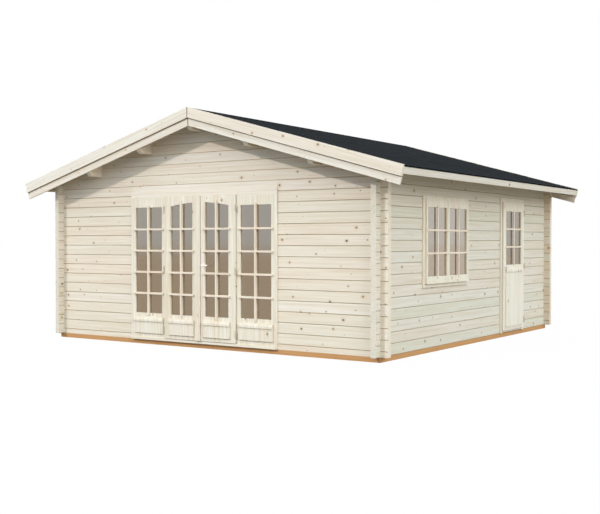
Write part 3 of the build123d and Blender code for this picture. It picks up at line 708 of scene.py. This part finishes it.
low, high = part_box("floor")
unit = board_unit("floor_board", ((low[0], high[0]), (low[0], high[0])), (low[2], high[2]), floor_cover)
mesh = board_row("floor_boards_laid", unit, floor_count, floor_cover, floor_wood)
closed_outwards(mesh)
laid = plain_piece("floor_boards_laid", mesh)
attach(laid, "cabin")
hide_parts("floor")
print("boards laid:", 2 * roof_count, "on the roof,", floor_count, "on the floor")

# %% [markdown]
# Felt comes in rolls a metre wide. Each sheet laps over the one below it, so from the ground the
# roof shows a few level steps, and a narrow capping runs along the ridge. A sheet is drawn as a
# thin wedge on the solid felt: 2.5 mm thick at its low edge, and nothing a little further up.

# %% Felt laps
lap_edges = (2.37, 1.42)          # down the slope from the ridge
lap_thickness = 0.0025
lap_start = 0.0003                # a wedge's thin edge
lap_run = 0.85
capping_reach = 0.19
felt_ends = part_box("roof_felt_right")[1][1]


def on_slope(side, along, deep, y):
    """Place on one slope: along it from the ridge, and deep into it from the ridge line."""
    return (side * (along * pitch_cos - deep * pitch_sin), y,
            ridge_level - along * pitch_sin - deep * pitch_cos)


def wedge(side, top, bottom, thick_top, thick_bottom):
    """Corners and faces of a thin sheet on one slope."""
    corners = []
    for y in (-felt_ends, felt_ends):
        for along, deep in ((top, felt_drop), (bottom, felt_drop), (bottom, felt_drop - thick_bottom),
                            (top, felt_drop - thick_top)):
            corners.append(on_slope(side, along, deep, y))
    return corners, [(0, 1, 2, 3), (7, 6, 5, 4), (0, 4, 5, 1), (1, 5, 6, 2), (2, 6, 7, 3), (3, 7, 4, 0)]


for side, hand in ((-1, "left"), (1, "right")):
    points, faces = [], []
    sheets = [(edge - lap_run, edge, lap_start, lap_thickness) for edge in lap_edges]
    sheets.append((felt_drop * plumb, capping_reach, lap_thickness, lap_thickness))
    for sheet in sheets:
        corners, quads = wedge(side, *sheet)
        faces += [tuple(len(points) + i for i in quad) for quad in quads]
        points += corners
    mesh = bpy.data.meshes.new(f"felt_laps_{hand}")
    mesh.from_pydata(points, [], faces)
    closed_outwards(mesh)
    mesh.materials.append(felt)
    laps = plain_piece(f"felt_laps_{hand}", mesh)
    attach(laps, "cabin")
print("felt laps:", 2 * (len(lap_edges) + 1))

# %% [markdown]
# Clout nails hold the felt: short, with a flat round head of 10 mm, about 75 mm apart along each lap
# and edge. The bargeboards and casings are held by small countersunk screws.

# %% Nails and screws
nail_radius, nail_height = 0.005, 0.0012
screw_radius, screw_height = 0.0035, 0.0006
nail_spacing = 0.075
row_inset = 0.03           # a row of nails lies this far up from the edge that it holds
eave_inset = 0.02
verge_inset = 0.04
head_sides = 8


def head_unit(name, radius, height, way):
    """Low domed head, its flat back on the origin and its dome towards one way."""
    points = [(0.0, 0.0, height)]
    for share, level in ((0.72, 0.85), (1.0, 0.0)):
        for step in range(head_sides):
            turn = math.tau * step / head_sides
            reach_x, reach_y = radius * share * math.cos(turn), radius * share * math.sin(turn)
            points.append((reach_x, reach_y, level * height))
    inner, outer = 1, 1 + head_sides
    pairs = [(i, (i + 1) % head_sides) for i in range(head_sides)]
    faces = [(0, inner + i, inner + j) for i, j in pairs]
    faces += [(inner + i, outer + i, outer + j, inner + j) for i, j in pairs]
    faces.append(tuple(reversed(range(outer, outer + head_sides))))
    mesh = bpy.data.meshes.new(name)
    mesh.from_pydata(points, [], faces)
    mesh.transform(Vector(way).to_track_quat("Z", "Y").to_matrix().to_4x4())
    return bpy.data.objects.new(name, mesh)


def heads_at(name, places, unit, body, finish, seed):
    """Heads on points, as one mesh on one body."""
    points = bpy.data.meshes.new(name)
    points.from_pydata(places, [], [])
    holder = plain_piece(f"{name}_holder", points)
    mesh = solved(name, holder, head_tree, {"Head": unit, "Size": 1.0, "Seed": seed, "Finish": finish})
    bpy.data.objects.remove(unit)
    closed_outwards(mesh)
    heads = plain_piece(name, mesh)
    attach(heads, body)
    return len(places)


made = 0
nail_count = int((2 * felt_ends - 2 * verge_inset) / nail_spacing) + 1
nails_along = [-felt_ends + verge_inset + k * nail_spacing for k in range(nail_count)]
for side, hand in ((-1, "left"), (1, "right")):
    rows = [(edge - row_inset, felt_drop - lap_thickness) for edge in (*lap_edges, capping_reach)]
    rows.append((deck_length - eave_inset, felt_drop))
    places = [on_slope(side, along, deep, y) for along, deep in rows for y in nails_along]
    unit = head_unit("clout_nail", nail_radius, nail_height, (side * pitch_sin, 0, pitch_cos))
    made += heads_at(f"felt_nails_{hand}", places, unit, "cabin", nail_steel, 61)

barge_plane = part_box("front_right_bargeboard")[0][1]
barge_screws = [0.16 + k * 0.49 for k in range(7)]      # down the slope, in two rows below the cover
for end, name in ((-1, "front"), (1, "rear")):
    places = []
    for side in (-1, 1):
        for along in barge_screws:
            for deep in (0.150, 0.205):
                spot = on_slope(side, along, deep, 0)
                places.append((spot[0], end * abs(barge_plane), spot[2]))
    unit = head_unit("countersunk_screw", screw_radius, screw_height, (0, end, 0))
    made += heads_at(f"{name}_bargeboard_screws", places, unit, "cabin", hinge_steel, 67)
casing_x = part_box("door_head")[1][0] - 0.010
casing_screws = [0.16 + k * 0.36 for k in range(6)]
places = [(side * casing_x, frame_plane, height) for side in (-1, 1) for height in casing_screws]
unit = head_unit("casing_screw", screw_radius, screw_height, (0, -1, 0))
made += heads_at("front_casing_screws", places, unit, "cabin", hinge_steel, 71)
print("nail and screw heads:", made)

# %% [markdown]
# A door lever is a round bar bent once: out of the rose and then along the door. A swept curve gives
# that bend, and its radius falls off at the free end. The rose and the lock cylinder are turned.

# %% Levers, roses and lock cylinders


def turned(name, profile, way, place):
    """Piece turned on a lathe. The profile is (radius, out) pairs, from the inside to the outside."""
    sides = 32
    points, faces = [], []
    for radius, out in profile:
        for step in range(sides):
            turn = math.tau * step / sides
            points.append((radius * math.cos(turn), radius * math.sin(turn), out))
    rings = len(profile)
    for ring in range(rings):
        after = (ring + 1) % rings
        for i in range(sides):
            j = (i + 1) % sides
            faces.append((ring * sides + i, after * sides + i, after * sides + j, ring * sides + j))
    mesh = bpy.data.meshes.new(name)
    mesh.from_pydata(points, [], faces)
    mesh.transform(Matrix.Translation(place) @ Vector(way).to_track_quat("Z", "Y").to_matrix().to_4x4())
    closed_outwards(mesh)
    for face in mesh.polygons:
        face.use_smooth = True
    mesh.materials.append(handle_steel)
    return plain_piece(name, mesh)


def bent_bar(name, path):
    """Bar swept along a path of (place, radius)."""
    curve = bpy.data.curves.new(name, "CURVE")
    curve.dimensions = "3D"
    curve.bevel_depth = 1.0
    curve.bevel_resolution = 5
    curve.use_fill_caps = True
    spline = curve.splines.new("NURBS")
    spline.points.add(len(path) - 1)
    for point, (place, radius) in zip(spline.points, path):
        point.co = (*place, 1.0)
        point.radius = radius
    spline.use_endpoint_u = True
    spline.order_u = 3
    spline.resolution_u = 8
    holder = bpy.data.objects.new(name, curve)
    bpy.context.scene.collection.objects.link(holder)
    graph = bpy.context.evaluated_depsgraph_get()
    mesh = bpy.data.meshes.new_from_object(holder.evaluated_get(graph))
    bpy.data.objects.remove(holder)
    closed_outwards(mesh)
    for face in mesh.polygons:
        face.use_smooth = True
    mesh.materials.clear()
    mesh.materials.append(handle_steel)
    return plain_piece(name, mesh)


plate_out = 0.006
cylinder_drop = 0.072
lever_path = (            # (out from the door, along it, radius)
    (0.0005, 0.0, 0.0048), (0.012, 0.0, 0.0048), (0.0122, 0.0, 0.0085), (0.034, 0.0, 0.0080),
    (0.051, 0.0, 0.0080), (0.051, 0.020, 0.0080), (0.051, 0.060, 0.0078), (0.050, 0.095, 0.0072),
    (0.049, 0.106, 0.0062), (0.049, 0.1095, 0.0025))
rose_profile = ((0.0095, 0.0), (0.0180, 0.0), (0.0180, 0.0025), (0.0165, 0.0045), (0.0095, 0.0050))
cylinder_profile = ((0.0012, 0.0), (0.0085, 0.0), (0.0085, 0.0050), (0.0078, 0.0058), (0.0012, 0.0058))
doors = (                 # (door, leaf, handle, the lever's root, out, along)
    ("front", "right_leaf", "front_handle", (0.070, leaf_plane, 1.082), (0, -1, 0), (1, 0, 0)),
    ("side", "side_leaf", "side_handle", (side_plane, 0.878, 1.025), (1, 0, 0), (0, 1, 0)),
)
for name, leaf, handle, root, outward, lengthways in doors:
    spot, out, along = Vector(root), Vector(outward), Vector(lengthways)
    path = [(spot + out * away + along * run, radius) for away, run, radius in lever_path]
    bar = bent_bar(f"{name}_lever_bent", path)
    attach(bar, handle)
    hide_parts(f"{name}_lever")
    on_plate = spot + out * plate_out
    rose = turned(f"{name}_rose", rose_profile, out, on_plate)
    below_rose = on_plate - Vector((0, 0, cylinder_drop))
    cylinder = turned(f"{name}_lock_cylinder", cylinder_profile, out, below_rose)
    for piece in (rose, cylinder):
        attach(piece, leaf)
print("levers made:", len(doors))

# %% [markdown]
# The cabin stands on a plain pale floor. Low sun comes from the left of the front, so the front
# is warm, the right wall lies in soft shade, and the gable has the bargeboards' slanting shadow.
# The camera sees the floor as white paper, glass and metal mirror it a little warmer, and the light
# that it throws back on the cabin is that of a mid grey floor, so the eaves stay in shade.

# %% Floor, light and camera
warm_reach = (3.0, 12.0)    # over this stretch, to the right, the mirrored floor turns from warm to white
far_reach = (45.0, 190.0)   # and over this one, away from the cabin, it turns to one pale tone
ground_mesh = bpy.data.meshes.new("ground")
floor_reach = 400
floor_corners = [(x * floor_reach, y * floor_reach, 0) for x, y in ((-1, -1), (1, -1), (1, 1), (-1, 1))]
ground_mesh.from_pydata(floor_corners, [], [(0, 1, 2, 3)])
ground = bpy.data.objects.new("ground", ground_mesh)
bpy.context.scene.collection.objects.link(ground)
paper, tree, shader = new_material("white_studio_floor")
shader.inputs["Base Color"].default_value = linear("#6B6963")
shader.inputs["Roughness"].default_value = 0.9
ray = add(tree, "ShaderNodeLightPath")
glow = add(tree, "ShaderNodeEmission", {"Color": (1, 1, 1, 1), "Strength": 1.035})
spot = add(tree, "ShaderNodeTexCoord").outputs["Object"]
reach = add(tree, "ShaderNodeVectorMath", {0: spot}, operation="LENGTH").outputs["Value"]
aside = add(tree, "ShaderNodeMapRange", {0: add(tree, "ShaderNodeSeparateXYZ", {0: spot}).outputs[0],
                                         1: warm_reach[0], 2: warm_reach[1], 3: 0.0, 4: 1.0})
far = add(tree, "ShaderNodeMapRange", {0: reach, 1: far_reach[0], 2: far_reach[1], 3: 0.0, 4: 1.0},
          interpolation_type="SMOOTHSTEP")
# What glass and metal mirror of the floor is a painted reflection: warm on the cabin's side, whiter towards
# the right, and one pale tone far off.
near_colour = blend(tree, aside.outputs[0], linear("#F2DFC8"), linear("#FFF4EC"))
mirrored_colour = blend(tree, far.outputs[0], near_colour, linear("#FBF4EE"))
mirrored = add(tree, "ShaderNodeEmission", {"Color": mirrored_colour, "Strength": 1.0})
by_camera = sums(tree, "MULTIPLY", ray.outputs["Is Camera Ray"], 0.95)
paper_seen = add(tree, "ShaderNodeMixShader", {0: by_camera, 1: shader.outputs[0], 2: glow.outputs[0]})
in_glass = sums(tree, "MAXIMUM", ray.outputs["Is Glossy Ray"], ray.outputs["Is Transmission Ray"])
paper_mix = add(tree, "ShaderNodeMixShader", {0: in_glass, 1: paper_seen.outputs[0],
                                              2: mirrored.outputs[0]})
output = next(node for node in tree.nodes if node.type == "OUTPUT_MATERIAL")
tree.links.new(paper_mix.outputs[0], output.inputs[0])
ground_mesh.materials.append(paper)


def distant_light(name, energy, colour, spread, travel):
    """Light from far away that travels along one direction."""
    data = bpy.data.lights.new(name, "SUN")
    data.energy, data.color, data.angle = energy, colour, math.radians(spread)
    lamp = bpy.data.objects.new(name, data)
    bpy.context.scene.collection.objects.link(lamp)
    lamp.rotation_euler = Vector(travel).to_track_quat("-Z", "Y").to_euler()
    return lamp


distant_light("low_sun", 1.50, (1.0, 0.95, 0.925), 1.5, (0.147, 0.252, -0.201))
distant_light("side_fill", 1.50, (0.98, 0.975, 0.925), 45, (-0.88, 0.25, -0.36))

world = bpy.data.worlds.new("studio")
bpy.context.scene.world = world
world.use_nodes = True
tree = world.node_tree
tree.nodes.clear()
ray = add(tree, "ShaderNodeLightPath")
way = add(tree, "ShaderNodeSeparateXYZ", {0: add(tree, "ShaderNodeTexCoord").outputs["Generated"]})
overhead = add(tree, "ShaderNodeMapRange", {0: way.outputs[2], 1: 0.0, 2: 1.0, 3: 0.18, 4: 2.1})
soft = add(tree, "ShaderNodeBackground", {"Color": (0.90, 1.07, 1.22, 1), "Strength": overhead.outputs[0]})
white = add(tree, "ShaderNodeBackground", {"Color": (1, 1, 1, 1), "Strength": 1.0})
seen = sums(tree, "MAXIMUM", ray.outputs["Is Camera Ray"], ray.outputs["Is Glossy Ray"])
seen = sums(tree, "MAXIMUM", seen, ray.outputs["Is Transmission Ray"])
sky = add(tree, "ShaderNodeMixShader", {0: seen, 1: soft.outputs[0], 2: white.outputs[0]})
add(tree, "ShaderNodeOutputWorld", {0: sky.outputs[0]})

camera_data = bpy.data.cameras.new("photo_camera")
camera_data.sensor_width, camera_data.lens = 36.0, 56.81
camera = bpy.data.objects.new("photo_camera", camera_data)
bpy.context.scene.collection.objects.link(camera)
camera.location = (8.016, -12.083, 1.380)
camera.rotation_euler = (math.radians(90 - 0.9), 0, math.radians(34.446))
bpy.context.scene.camera = camera
bpy.context.scene.view_settings.view_transform = "Standard"
